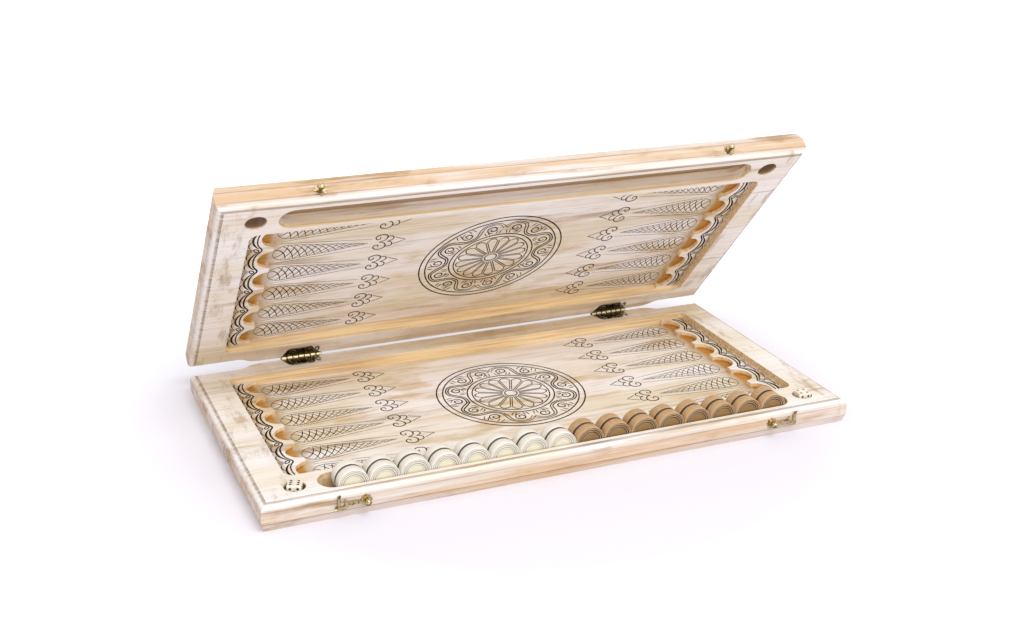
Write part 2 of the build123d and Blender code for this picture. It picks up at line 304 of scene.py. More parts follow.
def half_matrix(half):
    """Turns millimetres across, from the hinge axis and above the inner face into the frame."""
    if half == "base":
        rows = ((1, 0, 0, 0), (0, -1, 0, HINGE_BACK), (0, 0, 1, HINGE_HEIGHT - HALF_GAP), (0, 0, 0, 1))
        return Matrix.Scale(MM, 4) @ Matrix(rows)
    cosine = math.cos(LID_OPENING)
    sine = math.sin(LID_OPENING)
    rows = (
        (1, 0, 0, 0),
        (0, -cosine, -sine, HINGE_BACK + sine * HALF_GAP),
        (0, sine, -cosine, HINGE_HEIGHT + cosine * HALF_GAP),
        (0, 0, 0, 1),
    )
    return Matrix.Scale(MM, 4) @ Matrix(rows)


def half_coordinates(finish, half):
    """Across, from the hinge axis and above the inner face, in millimetres, in a material."""
    if half == "base":
        return finish.place(
            finish.point, (1000, 1000, 1000), (0, 0, 0),
            (0, -HINGE_BACK, HALF_GAP - HINGE_HEIGHT))
    turn = math.pi + LID_OPENING
    pivot = Matrix.Rotation(turn, 3, "X") @ Vector((0, HINGE_BACK, HINGE_HEIGHT))
    return finish.place(
        finish.point, (1000, 1000, 1000), (turn, 0, 0),
        (0, -pivot.y, HALF_GAP - pivot.z))


def board_finish(half, wood):
    """Whitewashed wood, worn through to brown, with oiled walls and cups."""
    finish = Finish(f"{half}_patina")
    point = half_coordinates(finish, half)
    across, away, height = finish.split(point)
    across = finish.math("ABSOLUTE", across)
    away = finish.math("ABSOLUTE", away)
    up = (0, 0, 1) if half == "base" else (0, -math.sin(LID_OPENING), -math.cos(LID_OPENING))
    level = finish.math("ABSOLUTE", finish.along(finish.normal, up))
    wall = finish.ramp(level, 0.75, 0.35)

    shift = (0, 0, 0) if half == "base" else (310, 40, 0)
    shifted = finish.place(point, shift=shift)
    cloud = finish.noise(finish.place(shifted, (0.005, 0.02, 0.02)), 1.0, 3.0, 0.5)
    streak = finish.noise(finish.place(shifted, (0.0045, 0.045, 0.06)), 1.0, 6.0, 0.62, 0.3)
    brush = finish.noise(finish.place(shifted, (0.009, 0.3, 0.3)), 1.0, 4.0, 0.65, 0.2)
    grain = finish.noise(finish.place(shifted, (0.03, 1.1, 1.1)), 1.0, 3.0, 0.65, 0.2)
    patch = finish.noise(finish.place(shifted, (0.011, 0.032, 0.03)), 1.0, 5.0, 0.6, 0.2)
    scuff = finish.noise(finish.place(shifted, (0.05, 0.014, 0.05)), 1.0, 6.0, 0.66)
    hatch = finish.noise(finish.place(shifted, (0.45, 0.045, 0.1)), 1.0, 5.0, 0.7, 0.5)

    inner = finish.times(
        finish.ramp(across, 287.0, 286.0), finish.ramp(away, 8.0, 9.0), finish.ramp(away, 291.6, 291.0),
        finish.ramp(height, -22.0, -21.0))
    floor = finish.times(inner, finish.ramp(height, -3.0, -5.0))
    deep = finish.times(inner, finish.ramp(height, -9.0, -10.5))
    raised = finish.math("SUBTRACT", 1.0, floor)
    side = finish.math("SUBTRACT", 1.0, inner)

    colour = finish.blend(finish.ramp(cloud, 0.35, 0.65), wood.chalk, wood.cream)
    washed = finish.blend(finish.ramp(cloud, 0.4, 0.62), wood.chalk, wood.field)
    colour = finish.blend(floor, colour, washed)
    near_hinge = finish.ramp(away, 96.0, 12.0)
    thin = finish.times(near_hinge, finish.ramp(streak, 0.36, 0.6))
    bald = finish.times(floor, finish.ramp(patch, 0.5, 0.68), 0.7)
    colour = finish.blend(finish.math("MAXIMUM", finish.times(thin, 0.65), bald), colour, wood.tan)
    colour = finish.blend(finish.times(finish.ramp(brush, 0.48, 0.74), 0.3), colour, wood.umber)
    colour = finish.blend(finish.times(finish.ramp(grain, 0.5, 0.78), 0.25), colour, wood.umber)
    fresh = finish.times(finish.ramp(brush, 0.5, 0.3), finish.ramp(away, 30.0, 80.0))
    colour = finish.blend(finish.times(fresh, 0.35), colour, wood.chalk)

    worn = finish.ramp(streak, 0.66 - 0.16 * wood.wear, 0.76 - 0.16 * wood.wear)
    amount = finish.math("ADD", 0.4, finish.times(floor, 0.15))
    colour = finish.blend(finish.times(worn, amount), colour, wood.umber)
    ends = finish.times(finish.ramp(across, 262.0, 270.0), finish.ramp(across, 292.9, 292.0))
    rubbed = finish.times(
        finish.ramp(scuff, 0.5, 0.66), finish.math("MAXIMUM", ends, finish.times(near_hinge, 0.3)), raised)
    colour = finish.blend(finish.times(rubbed, finish.ramp(hatch, 0.3, 0.65, 0.4, 0.6)), colour, wood.umber)

    # Painted shade: the side faces are greyed to stand for the weaker light that falls on them.
    painted_side_shade_mask = finish.times(side, wall, finish.ramp(brush, 0.3, 0.6, 0.5, 0.9))
    colour = finish.blend(painted_side_shade_mask, colour, wood.painted_side_shade)
    skirt = finish.times(side, wall, finish.ramp(height, -6.0, -7.2))
    bare = finish.times(finish.ramp(streak, 0.42, 0.56), finish.ramp(brush, 0.35, 0.6, 0.3, 0.75))
    colour = finish.blend(finish.times(skirt, bare), colour, wood.oak)
    scraped = finish.times(
        side, wall, finish.ramp(patch, 0.5, 0.64), finish.ramp(brush, 0.35, 0.6, 0.2, 0.7))
    colour = finish.blend(scraped, colour, wood.umber)

    oiled = finish.times(inner, wall, finish.ramp(height, -0.15, -0.5))
    trough = finish.times(
        finish.ramp(away, 257.0, 259.0), finish.ramp(height, -2.6, -4.6), 1.0 if half == "lid" else 0.2)
    oiled = finish.times(oiled, finish.math("SUBTRACT", 1.0, finish.times(trough, 0.85)))
    cup = finish.times(deep, finish.ramp(across, STRIP_EDGE - 1.0, STRIP_EDGE + 5.0))
    # Painted shade: umber where the floors meet the walls of the field and the strip, and on the trough
    # floor.
    mouth = finish.times(deep, finish.ramp(across, 224.0, 237.0))
    heel = finish.times(floor, finish.ramp(across, 255.5, 262.0))
    painted_trough_floor_shade = finish.times(inner, finish.ramp(height, -14.0, -15.0))
    painted_wall_foot_shade = finish.math("MAXIMUM", finish.times(mouth, 0.5), finish.times(heel, 0.45))
    colour = finish.blend(finish.math("MAXIMUM", painted_wall_foot_shade, finish.times(painted_trough_floor_shade, 0.8)), colour, wood.umber)
    honey = finish.blend(finish.ramp(brush, 0.35, 0.7), wood.honey, wood.oak)
    colour = finish.blend(finish.times(oiled, 0.92), colour, honey)
    amber = finish.blend(finish.ramp(brush, 0.4, 0.75), wood.amber, wood.umber)
    colour = finish.blend(cup, colour, amber)
    # Painted shade: the dice holes darken below their rim in the groove colour.
    painted_hole_shade = finish.times(
        finish.ramp(across, 252.0, 253.0), finish.ramp(away, 262.0, 264.0), inner,
        finish.ramp(height, -0.5, -3.0))
    colour = finish.blend(finish.times(painted_hole_shade, 0.75), colour, wood.groove)

    lands_edge = finish.math("MAXIMUM", finish.ramp(across, 292.9, 293.3), finish.ramp(away, 295.2, 295.6))
    quirk = finish.times(lands_edge, finish.ramp(height, -1.3, -0.7), finish.ramp(height, -0.02, -0.1))
    ledge = finish.times(side, finish.ramp(height, -5.6, -6.2), finish.ramp(height, -7.4, -6.8))
    foot = finish.times(side, finish.ramp(height, -16.9, -17.2), finish.ramp(height, -18.3, -17.9))
    dark = finish.math("MAXIMUM", quirk, finish.math("MAXIMUM", foot, finish.times(ledge, 0.6)))
    waxed = finish.times(dark, finish.ramp(brush, 0.3, 0.65, 0.3, 0.65))
    colour = finish.blend(waxed, colour, wood.groove)

    finish.set("Base Color", colour)
    finish.set("Roughness", finish.ramp(grain, 0.3, 0.7, 0.5, 0.68))
    finish.set("Specular IOR Level", 0.25)
    finish.bump(grain, 0.00025, 0.5)
    return finish.material


def wax_finish(carving):
    """Dark wax, thinner where the whitewash has got into the line."""
    finish = Finish("engraving_wax")
    spread = finish.noise(finish.place(finish.point, (60, 160, 160)), 1.0, 4.0, 0.6)
    thin = tuple(0.6 * c + 0.4 * p for c, p in zip(carving.wax, tone("a58a68")))
    finish.set("Base Color", finish.blend(finish.ramp(spread, 0.5, 0.75), carving.wax, thin))
    finish.set("Roughness", 0.9)
    finish.set("Specular IOR Level", 0.05)
    finish.bump(finish.noise(finish.point, 900.0), 0.0001, 0.3)
    return finish.material


def brass_finish(name, bright, tarnish_and_shade, aged):
    """Cast brass that has darkened in patches, with painted shade on its downward faces."""
    finish = Finish(name)
    patches = finish.noise(finish.point, 420.0, 5.0, 0.65, 0.3)
    pits = finish.noise(finish.point, 1100.0, 3.0, 0.6)
    spread = finish.ramp(patches, 0.62 - aged, 0.8 - aged)
    # Painted shade: faces that point down take the dark colour, standing in for dark reflections and shade
    # under the brass.
    painted_underside_shade = finish.ramp(finish.split(finish.normal)[2], 0.3, -0.5, 0.0, 0.85)
    finish.set("Base Color", finish.blend(finish.math("MAXIMUM", spread, painted_underside_shade), bright, tarnish_and_shade))
    finish.set("Metallic", 1.0)
    finish.set("Roughness", finish.ramp(patches, 0.3, 0.8, 0.18, 0.5))
    finish.bump(finish.math("ADD", pits, finish.times(patches, 2.0)), 0.00025, 0.5)
    return finish.material


def hinge_finish(name, middle, metal):
    """Dark bronze leaves with a painted highlight along the knuckle barrels, dark again where two knuckles
    meet.
    """
    finish = Finish(name)
    across, away, height = finish.split(half_coordinates(finish, "base"))
    patches = finish.noise(finish.point, 500.0, 5.0, 0.7, 0.4)
    spread = finish.ramp(patches, 0.4, 0.6)
    leaf = finish.blend(spread, metal.antique, metal.tarnish_and_shade)
    reach = finish.math("SQRT", finish.math(
        "ADD", finish.math("POWER", away, 2.0), finish.math("POWER", height, 2.0)))
    half_pitch = 0.5 * KNUCKLE_PITCH
    along = finish.math("PINGPONG", finish.math("SUBTRACT", across, middle + half_pitch), half_pitch)
    # Painted highlight: a pale band along each knuckle barrel that stops short of the joints between
    # knuckles.
    rubbed = finish.times(finish.ramp(reach, 2.7, 2.3), finish.ramp(along, 0.35, 0.95))
    rubbed = finish.times(rubbed, finish.ramp(patches, 0.62, 0.5, 0.7, 1.0))
    finish.set("Base Color", finish.blend(rubbed, leaf, metal.rubbed))
    finish.set("Metallic", 1.0)
    finish.set("Roughness", finish.ramp(patches, 0.3, 0.8, 0.25, 0.5))
    finish.bump(patches, 0.0003, 0.6)
    return finish.material


def checker_finish(name, edge, heart, stain):
    """Turned wood, darker towards its dished middle and in the turned rings, with painted shade on the
    faces that look into the gap between the rows.
    """
    finish = Finish(name)
    radius = finish.attribute("turning")
    hollow = finish.attribute("hollow")
    painted_gap_shade = finish.attribute("painted_gap_shade")
    fibre = finish.noise(finish.place(finish.point, (900, 120, 900)), 1.0, 4.0, 0.6)
    cloud = finish.noise(finish.point, 90.0, 4.0, 0.6)
    colour = finish.blend(finish.ramp(radius, 0.85, 0.4), edge, heart)
    deeper = tuple(0.3 * c for c in heart)
    colour = finish.blend(finish.times(finish.ramp(fibre, 0.46, 0.8), 0.35 * stain), colour, deeper)
    colour = finish.blend(finish.times(finish.ramp(cloud, 0.5, 0.8), 0.3 * stain), colour, deeper)
    groove = finish.times(finish.ramp(hollow, 0.5, 1.0), finish.ramp(radius, 0.52, 0.6))
    colour = finish.blend(finish.times(groove, stain), colour, tuple(0.06 * c for c in heart))
    # Painted shade: near black on the faces that look into the narrow gap between the two rows.
    colour = finish.blend(finish.times(painted_gap_shade, 0.85), colour, tone("241a12"))
    finish.set("Base Color", colour)
    finish.set("Roughness", finish.ramp(fibre, 0.3, 0.7, 0.38, 0.55))
    finish.bump(fibre, 0.00012, 0.5)
    return finish.material


def bone_finish(pieces):
    """Glossy bone white."""
    finish = Finish("dice_bone")
    mottle = finish.noise(finish.place(finish.point, (240, 90, 240)), 1.0, 4.0, 0.6)
    deeper = tuple(0.8 * c for c in pieces.bone)
    finish.set("Base Color", finish.blend(finish.ramp(mottle, 0.4, 0.75), pieces.bone, deeper))
    finish.set("Roughness", 0.3)
    finish.set("Subsurface Weight", 0.08)
    finish.set("Subsurface Scale", 0.002)
    return finish.material


def pip_finish():
    """Black paint in the pips."""
    finish = Finish("pip_paint")
    speck = finish.noise(finish.point, 1500.0)
    finish.set("Base Color", finish.blend(speck, tone("120e0b"), tone("2a211a")))
    finish.set("Roughness", 0.4)
    return finish.material


def dress(node, material):
    """Give a carried-over part its finish."""
    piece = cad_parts[node]
    if not piece.material_slots:
        piece.data.materials.append(material)
    for slot in piece.material_slots:
        slot.link = "OBJECT"
        slot.material = material


def add_piece(name, mesh, body, material):
    """Put a finished mesh in the scene, riding on a body."""
    mesh.materials.clear()
    mesh.materials.append(material)
    piece = bpy.data.objects.new(name, mesh)
    bpy.context.scene.collection.objects.link(piece)
    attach(piece, body)
    return piece


def finished(shape, name):
    """Mesh of a bmesh, with its faces outwards."""
    bmesh.ops.recalc_face_normals(shape, faces=shape.faces[:])
    mesh = bpy.data.meshes.new(name)
    shape.to_mesh(mesh)
    shape.free()
    return mesh


class Drawing:
    """Engraved lines on one level of a half, drawn in the half's own millimetres."""

    def __init__(self, name, level, carving):
        self.name = name
        self.level = level
        self.width = carving.line_width
        self.tool = self.cutter(carving.line_depth)
        self.curve = bpy.data.curves.new(name, "CURVE")
        self.curve.dimensions = "3D"
        self.curve.twist_mode = "Z_UP"
        self.curve.bevel_mode = "OBJECT"
        self.curve.bevel_object = self.tool
        self.curve.use_fill_caps = True

    def cutter(self, depth):
        """Section of a line: a V between two thin lips, with its root in the wood."""
        outline = bpy.data.curves.new(f"{self.name}_cutter", "CURVE")
        section = outline.splines.new("POLY")
        corners = [(-0.5, -0.3), (0.5, -0.3), (0.5, 0.9 * depth), (0.0, 0.1 * depth), (-0.5, 0.9 * depth)]
        section.points.add(len(corners) - 1)
        for corner, (x, y) in zip(section.points, corners):
            corner.co = (x, y, 0.0, 1.0)
        section.use_cyclic_u = True
        return bpy.data.objects.new(f"{self.name}_cutter", outline)

    def line(self, points, width=1.0, ends=0.35, closed=False, steps=3):
        """One stroke through its control points, full in the middle and thin at its ends."""
        spline = self.curve.splines.new("NURBS")
        spline.points.add(len(points) - 1)
        last = max(1, len(points) - 1)
        for place, (control, (x, y)) in enumerate(zip(spline.points, points)):
            control.co = (x, y, self.level, 1.0)
            swell = 1.0 if closed else ends + (1.0 - ends) * math.sin(math.pi * place / last) ** 0.7
            control.radius = self.width * width * swell
        spline.use_cyclic_u = closed
        spline.order_u = min(4, len(points))
        spline.use_endpoint_u = not closed
        spline.resolution_u = steps

    def ring(self, middle, radius, width=1.0, parts=24):
        """Closed circle."""
        turns = [2 * math.pi * part / parts for part in range(parts)]
        reach = radius * (1 + (math.pi / parts) ** 2 * 2 / 3)
        points = [(middle[0] + reach * math.cos(a), middle[1] + reach * math.sin(a)) for a in turns]
        self.line(points, width, closed=True, steps=4)

    def mesh(self, half):
        """The lines as a mesh on one half."""
        holder = bpy.data.objects.new(self.name, self.curve)
        bpy.context.scene.collection.objects.link(holder)
        bpy.context.view_layer.update()
        graph = bpy.context.evaluated_depsgraph_get()
        flat = bpy.data.meshes.new_from_object(holder.evaluated_get(graph))
        shape = bmesh.new()
        shape.from_mesh(flat)
        bmesh.ops.transform(shape, matrix=half_matrix(half), verts=shape.verts[:])
        mesh = finished(shape, self.name)
        bpy.data.objects.remove(holder)
        bpy.data.objects.remove(self.tool)
        bpy.data.curves.remove(self.curve)
        bpy.data.meshes.remove(flat)
        return mesh


def petal_reach(along):
    """Half width of a petal at a distance from its round end."""
    if along < 14.0:
        return 13.3 * math.sqrt(max(0.0, 1.0 - ((14.0 - along) / 14.0) ** 2))
    return max(0.6, 13.3 - 0.154 * (along - 14.0))


def draw_petal(drawing, end, row, strokes):
    """One pointed petal: outline, crossed strokes, long border lines and a scrolled tip."""
    start = 235.8

    def spot(across, away):
        return (end * across, row + away)

    for side in (1, -1):
        edge = [0.0, 0.6, 2.5, 6.0, 10.0, 15.0, 24.0, 40.0, 58.0, 72.0]
        outline = [spot(start - along, side * petal_reach(along)) for along in edge]
        drawing.line(outline, 0.45, 0.5)
        drawing.line(
            [spot(230.5, side * 17.3), spot(185.0, side * 12.0), spot(139.0, side * 6.6)], 0.5, 0.5)
        scroll = [(131.7, 0.0), (127.0, 1.0), (123.6, 5.6), (124.4, 11.6), (130.0, 14.0), (136.0, 11.8),
                  (136.8, 6.4), (133.4, 4.0), (130.6, 6.0), (131.8, 8.8)]
        drawing.line([spot(x, side * y) for x, y in scroll], 0.8, 0.75)
        crook = [(123.4, 0.0), (120.0, 0.6), (117.0, 4.4), (118.4, 8.8), (122.6, 10.0), (125.4, 7.2)]
        drawing.line([spot(x, side * y) for x, y in crook], 0.75, 0.7)
        tip = [(116.2, 6.6), (113.6, 4.0), (109.4, 2.6), (104.8, 0.0)]
        drawing.line([spot(x, side * y) for x, y in tip], 0.65, 0.6)
        for stroke in range(strokes):
            first = 2.0 + stroke * 6.4
            sweep = 12.0 + 0.5 * stroke
            last = min(first + sweep, 93.0)
            middle = petal_reach(0.5 * (first + last))
            points = [
                spot(start - first, side * petal_reach(first)),
                spot(start - first - 0.55 * sweep, side * 0.5 * middle),
                spot(start - last + 0.06 * sweep, -side * 0.3 * middle),
                spot(start - last, -side * petal_reach(last)),
            ]
            drawing.line(points, (0.9 if side > 0 else 0.75) * (1.0 - 0.045 * stroke), 0.4, steps=2)


def draw_strip(drawing, end):
    """Scalloped bands and buds along the raised strip of one end."""

    def spot(across, away):
        return (end * across, away)

    wave = []
    for row in CUP_ROWS:
        for away, across in ((-14.2, 251.6), (-8.6, 254.6), (0.0, 255.4), (8.6, 254.6), (14.2, 251.6)):
            wave.append(spot(across, row + away))
        wave.append(spot(248.0, row + CUP_PITCH / 2))
    drawing.line(wave[:-1], 1.15, 0.6, steps=4)
    for row in CUP_ROWS:
        crescent = [
            (252.6, -15.6), (255.8, -12.2), (259.6, -5.0), (259.6, 5.0), (255.8, 12.2), (252.6, 15.6)]
        drawing.line([spot(x, row + y) for x, y in crescent], 1.4, 0.3, steps=4)
        for side in (1, -1):
            hook = [(260.4, 3.6), (263.2, 6.4), (263.0, 11.4), (260.2, 15.2)]
            drawing.line([spot(x, row + side * y) for x, y in hook], 1.0, 0.35)
            vein = [(262.6, 0.6), (264.6, 3.6), (264.4, 8.0)]
            drawing.line([spot(x, row + side * y) for x, y in vein], 0.7, 0.35)
    for row in CUP_ROWS[:-1]:
        middle = row + CUP_PITCH / 2
        bud = [(251.6, -2.0), (253.6, -3.4), (256.6, -0.8), (257.2, 2.6), (255.0, 2.4), (252.2, 0.4)]
        drawing.line([spot(x, middle + y) for x, y in bud], 0.8, closed=True)
        for tilt in (-3.2, 0.0, 3.2):
            drawing.line([spot(258.0, middle + 0.5 * tilt), spot(264.6, middle + tilt)], 1.5, 0.35)


def draw_medallion(drawing, spokes):
    """Ringed wheel with a running scroll round it."""
    middle = (0.0, FIELD_MIDDLE)

    def spot(radius, turn):
        return (middle[0] + radius * math.cos(turn), middle[1] + radius * math.sin(turn))

    for radius, width in ((76.3, 0.95), (70.0, 0.9), (44.8, 0.9), (39.8, 0.8), (6.4, 0.8)):
        drawing.ring(middle, radius, width)
    for spoke in range(spokes):
        turn = 2 * math.pi * spoke / spokes
        step = math.pi / spokes
        for offset, width in ((-1.0, 0.7), (1.0, 0.7)):
            inside = spot(math.hypot(8.6, offset), turn + math.atan2(offset, 8.6))
            outside = spot(math.hypot(33.6, offset), turn + math.atan2(offset, 33.6))
            drawing.line([inside, outside], width, 0.9, steps=2)
        scallop = [(33.4, -0.72), (36.8, -0.5), (38.2, 0.0), (36.8, 0.5), (33.4, 0.72)]
        drawing.line([spot(r, turn + step + a * step) for r, a in scallop], 0.85, 0.6)

    lobes = 7
    lobe = math.pi / lobes
    for hand in (1, -1):
        def around(radius, turn):
            return spot(radius, hand * turn - math.pi / 2)

        for offset in (-1.2, 1.2):
            vine = []
            for part in range(lobes * 6 + 1):
                turn = math.pi * part / (lobes * 6)
                swing = math.tanh(2.0 * math.sin(turn / lobe * math.pi))
                steep = math.cos(turn / lobe * math.pi) * (1.0 - swing * swing)
                vine.append(around(57.4 + 9.0 * swing + offset, turn - 0.02 * offset * steep))
            drawing.line(vine, 0.9, 0.6)
        for number in range(lobes):
            sign = 1 if number % 2 == 0 else -1
            turn = (number + 0.5) * lobe
            heart = 57.4 - 1.4 * sign
            scroll = []
            for part in range(13):
                sweep = 2 * math.pi * 1.45 * part / 12
                size = 7.4 - 5.6 * part / 12
                radial = -sign * size * math.cos(sweep)
                sideways = -size * math.sin(sweep)
                scroll.append(around(heart + radial, turn + sideways / heart))
            drawing.line(scroll, 0.95, 0.5)
            for leaf in (-2.2, -1.2, 1.2, 2.2):
                root = around(57.4 - sign * 4.6, turn + leaf * 0.075)
                bend = around(57.4 - sign * 7.8, turn + leaf * 0.074)
                tip = around(57.4 - sign * 11.0, turn + leaf * 0.055)
                drawing.line([root, bend, tip], 1.1, 0.3)


def draw_hinge(drawing, middle):
    """Raised border and scrolls of one hinge leaf."""
    border = [
        (-19.5, 3.6), (-17.4, 13.0), (-15.6, 18.0), (-12.0, 19.4),
        (6.6, 19.4), (9.4, 16.0), (11.0, 9.6), (16.0, 3.8)]
    drawing.line([(middle + x, y) for x, y in border], 0.6, 0.8)
    scrolls = (
        [
            (-14.8, 4.4), (-15.0, 10.0), (-12.6, 15.6), (-8.4, 16.0), (-6.8, 12.0), (-9.4, 9.0),
            (-12.0, 11.2)],
        [(-4.6, 4.2), (-5.2, 9.0), (-3.6, 12.6), (-6.0, 17.0), (-1.2, 17.8)],
        [(3.4, 4.2), (4.0, 9.0), (2.4, 12.6), (5.0, 17.4), (0.2, 17.8)],
        [(10.4, 5.0), (8.6, 8.4), (8.6, 13.0), (6.4, 15.4), (4.6, 12.6), (6.4, 9.8)],
        [(15.2, 5.8), (12.9, 9.0), (12.9, 15.0), (15.2, 18.2), (17.5, 15.0), (17.5, 9.0), (15.2, 5.8)],
    )
    for scroll in scrolls:
        drawing.line([(middle + x, y) for x, y in scroll], 0.6, 0.7)


def engrave(kind, level, draw, material=None):
    """Draw one kind of ornament on both halves."""
    carving = bpy.context.scene.backgammon_carving
    material = material or bpy.data.materials.get("engraving_wax") or wax_finish(carving)
    for half in ("base", "lid"):
        drawing = Drawing(f"{half}_{kind}", level, carving)
        draw(drawing, carving)
        add_piece(f"{half}_{kind}", drawing.mesh(half), half, material)


def turned_checker(node, material, depth, gap):
    """Disc turned about its own axis, ringed on both faces and set back towards the other row."""
    low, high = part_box(node)
    middle = 0.5 * (Vector(low) + Vector(high))
    radius = 0.5 * (high[2] - low[2])
    half = 0.5 * (high[1] - low[1])
    facing = 1 if "front" in node else -1
    back = [(r, facing * (half - depth * fall - gap)) for r, fall in RING_PROFILE]
    face = [(r, facing * (depth * fall - half)) for r, fall in RING_PROFILE]
    profile = back + face[::-1]
    shape = bmesh.new()
    chain = [shape.verts.new((r * radius, h, 0.0)) for r, h in profile]
    edges = [shape.edges.new(pair) for pair in zip(chain, chain[1:])]
    bmesh.ops.spin(
        shape, geom=chain + edges, cent=(0, 0, 0), axis=(0, 1, 0), angle=2 * math.pi, steps=56,
        use_merge=True, use_duplicate=False)
    bmesh.ops.remove_doubles(shape, verts=shape.verts[:], dist=1e-6)
    turning = shape.verts.layers.float.new("turning")
    hollow = shape.verts.layers.float.new("hollow")
    painted_gap_shade = shape.verts.layers.float.new("painted_gap_shade")
    for vertex in shape.verts:
        share = math.hypot(vertex.co.x, vertex.co.z) / radius
        vertex[turning] = share
        behind = facing * vertex.co.y > 0.0
        # Marks the faces that look into the gap between the rows, where shade is painted.
        vertex[painted_gap_shade] = 1.0 if behind and share < 0.98 else 0.0
        vertex[hollow] = (half - abs(vertex.co.y)) / depth if share < 0.97 and not behind else 0.0
    bmesh.ops.translate(shape, verts=shape.verts[:], vec=middle)
    for surface in shape.faces:
        surface.smooth = True
    piece = add_piece(f"turned_{node}", finished(shape, f"turned_{node}"), node, material)
    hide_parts(node)


def pip_piece(node, turn, spots, material):
    """Painted hollows of one die, all on its six sides."""
    low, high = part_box(node)
    middle = 0.5 * (Vector(low) + Vector(high))
    layouts = {
        "1": [(0, 0)],
        "2": [(-1, -1), (1, 1)],
        "3": [(-1, -1), (0, 0), (1, 1)],
        "4": [(-1, -1), (-1, 1), (1, -1), (1, 1)],
        "5": [(-1, -1), (-1, 1), (0, 0), (1, -1), (1, 1)],
        "6": [(-1, -1), (-1, 0), (-1, 1), (1, -1), (1, 0), (1, 1)],
    }
    sides = [
        ((1, 0, 0), (0, 1, 0), (0, 0, 1)), ((-1, 0, 0), (0, 1, 0), (0, 0, -1)),
        ((0, 0, -1), (1, 0, 0), (0, -1, 0)), ((0, 0, 1), (1, 0, 0), (0, 1, 0)),
        ((0, 0, 1), (0, -1, 0), (1, 0, 0)), ((0, 0, -1), (0, -1, 0), (-1, 0, 0)),
    ]
    shape = bmesh.new()
    for (right, up, out), number in zip(sides, spots):
        facing = Matrix((right, up, out)).transposed().to_4x4()
        for across, along in layouts[number]:
            place = Matrix.Translation((3.4 * across * MM, 3.4 * along * MM, 6.26 * MM))
            bmesh.ops.create_cone(
                shape, segments=20, cap_ends=True, radius1=0.8 * MM, radius2=1.2 * MM,
                depth=0.4 * MM, matrix=facing @ place)
    stand = Matrix.Translation(middle) @ Matrix.Rotation(math.radians(turn), 4, "Z")
    bmesh.ops.transform(shape, matrix=stand, verts=shape.verts[:])
    add_piece(f"{node}_pips", finished(shape, f"{node}_pips"), node, material)


class BACKGAMMON_OT_boards(bpy.types.Operator):
    """Gives both halves their worn whitewash and oiled hollows"""

    bl_idname = "backgammon.boards"
    bl_label = "Boards"

    def execute(self, context):
        for half in ("base", "lid"):
            dress(f"{half}_board", board_finish(half, context.scene.backgammon_wood))
        return {"FINISHED"}


class BACKGAMMON_OT_petals(bpy.types.Operator):
    """Engraves the twelve pointed petals on the field of each half"""

    bl_idname = "backgammon.petals"
    bl_label = "Petals"

    def execute(self, context):
        def draw(drawing, carving):
            for end in (-1, 1):
                for row in CUP_ROWS:
                    draw_petal(drawing, end, row, carving.petal_strokes)

        engrave("petals", FIELD_FLOOR, draw)
        return {"FINISHED"}


class BACKGAMMON_OT_bands(bpy.types.Operator):
    """Engraves the scalloped bands on the raised end strips"""

    bl_idname = "backgammon.bands"
    bl_label = "Bands"

    def execute(self, context):
        def draw(drawing, carving):
            for end in (-1, 1):
                draw_strip(drawing, end)

        engrave("bands", STRIP_FLOOR, draw)
        return {"FINISHED"}


class BACKGAMMON_OT_medallions(bpy.types.Operator):
    """Engraves the wheel medallion in the middle of each field"""

    bl_idname = "backgammon.medallions"
    bl_label = "Medallions"

    def execute(self, context):
        def draw(drawing, carving):
            draw_medallion(drawing, carving.spokes)

        engrave("medallion", FIELD_FLOOR, draw)
        return {"FINISHED"}


class BACKGAMMON_OT_checkers(bpy.types.Operator):
    """Turns the light and dark checkers"""

    bl_idname = "backgammon.checkers"
    bl_label = "Checkers"

    def execute(self, context):
        pieces = context.scene.backgammon_pieces
        finishes = {
            "light": checker_finish("light_checker_wood", pieces.light, pieces.light_heart, 0.4),
            "dark": checker_finish("dark_checker_wood", pieces.dark, pieces.dark_heart, 1.0),
        }
        for colour, material in finishes.items():
            for row in ("front", "rear"):
                for number in range(1, 9):
                    node = f"{colour}_checker_{row}_{number}"
                    turned_checker(node, material, pieces.ring_depth, pieces.gap_depth)
        return {"FINISHED"}


class BACKGAMMON_OT_dice(bpy.types.Operator):
    """Polishes the dice and paints their pips"""

    bl_idname = "backgammon.dice"
    bl_label = "Dice"

    def execute(self, context):
        bone = bone_finish(context.scene.backgammon_pieces)
        paint = pip_finish()
        for node, turn, spots in (("left_die", -22.0, "615234"), ("right_die", -3.0, "435261")):
            dress(node, bone)
            pip_piece(node, turn, spots, paint)
        return {"FINISHED"}


class BACKGAMMON_OT_fittings(bpy.types.Operator):
    """Gives hinges, screws, hooks and pins their aged brass, and the leaves their scrolls"""

    bl_idname = "backgammon.fittings"
    bl_label = "Fittings"

    def execute(self, context):
        metal = context.scene.backgammon_metal
        brass = brass_finish("latch_brass", metal.brass, metal.tarnish_and_shade, 0.14)
        bronze = {
            side: hinge_finish(f"{side}_hinge_bronze", middle, metal)
            for side, middle in HINGE_MIDDLES.items()}
        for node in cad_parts:
            if "hinge" in node:
                dress(node, bronze["right" if node.startswith("right") else "left"])
            elif "hook" in node or "catch" in node:
                dress(node, brass)

        def draw(drawing, carving):
            for middle in HINGE_MIDDLES.values():
                draw_hinge(drawing, middle)

        scrolls = brass_finish("rubbed_brass", metal.rubbed, metal.antique, 0.1)
        engrave("hinge_scrolls", 0.0, draw, scrolls)
        return {"FINISHED"}


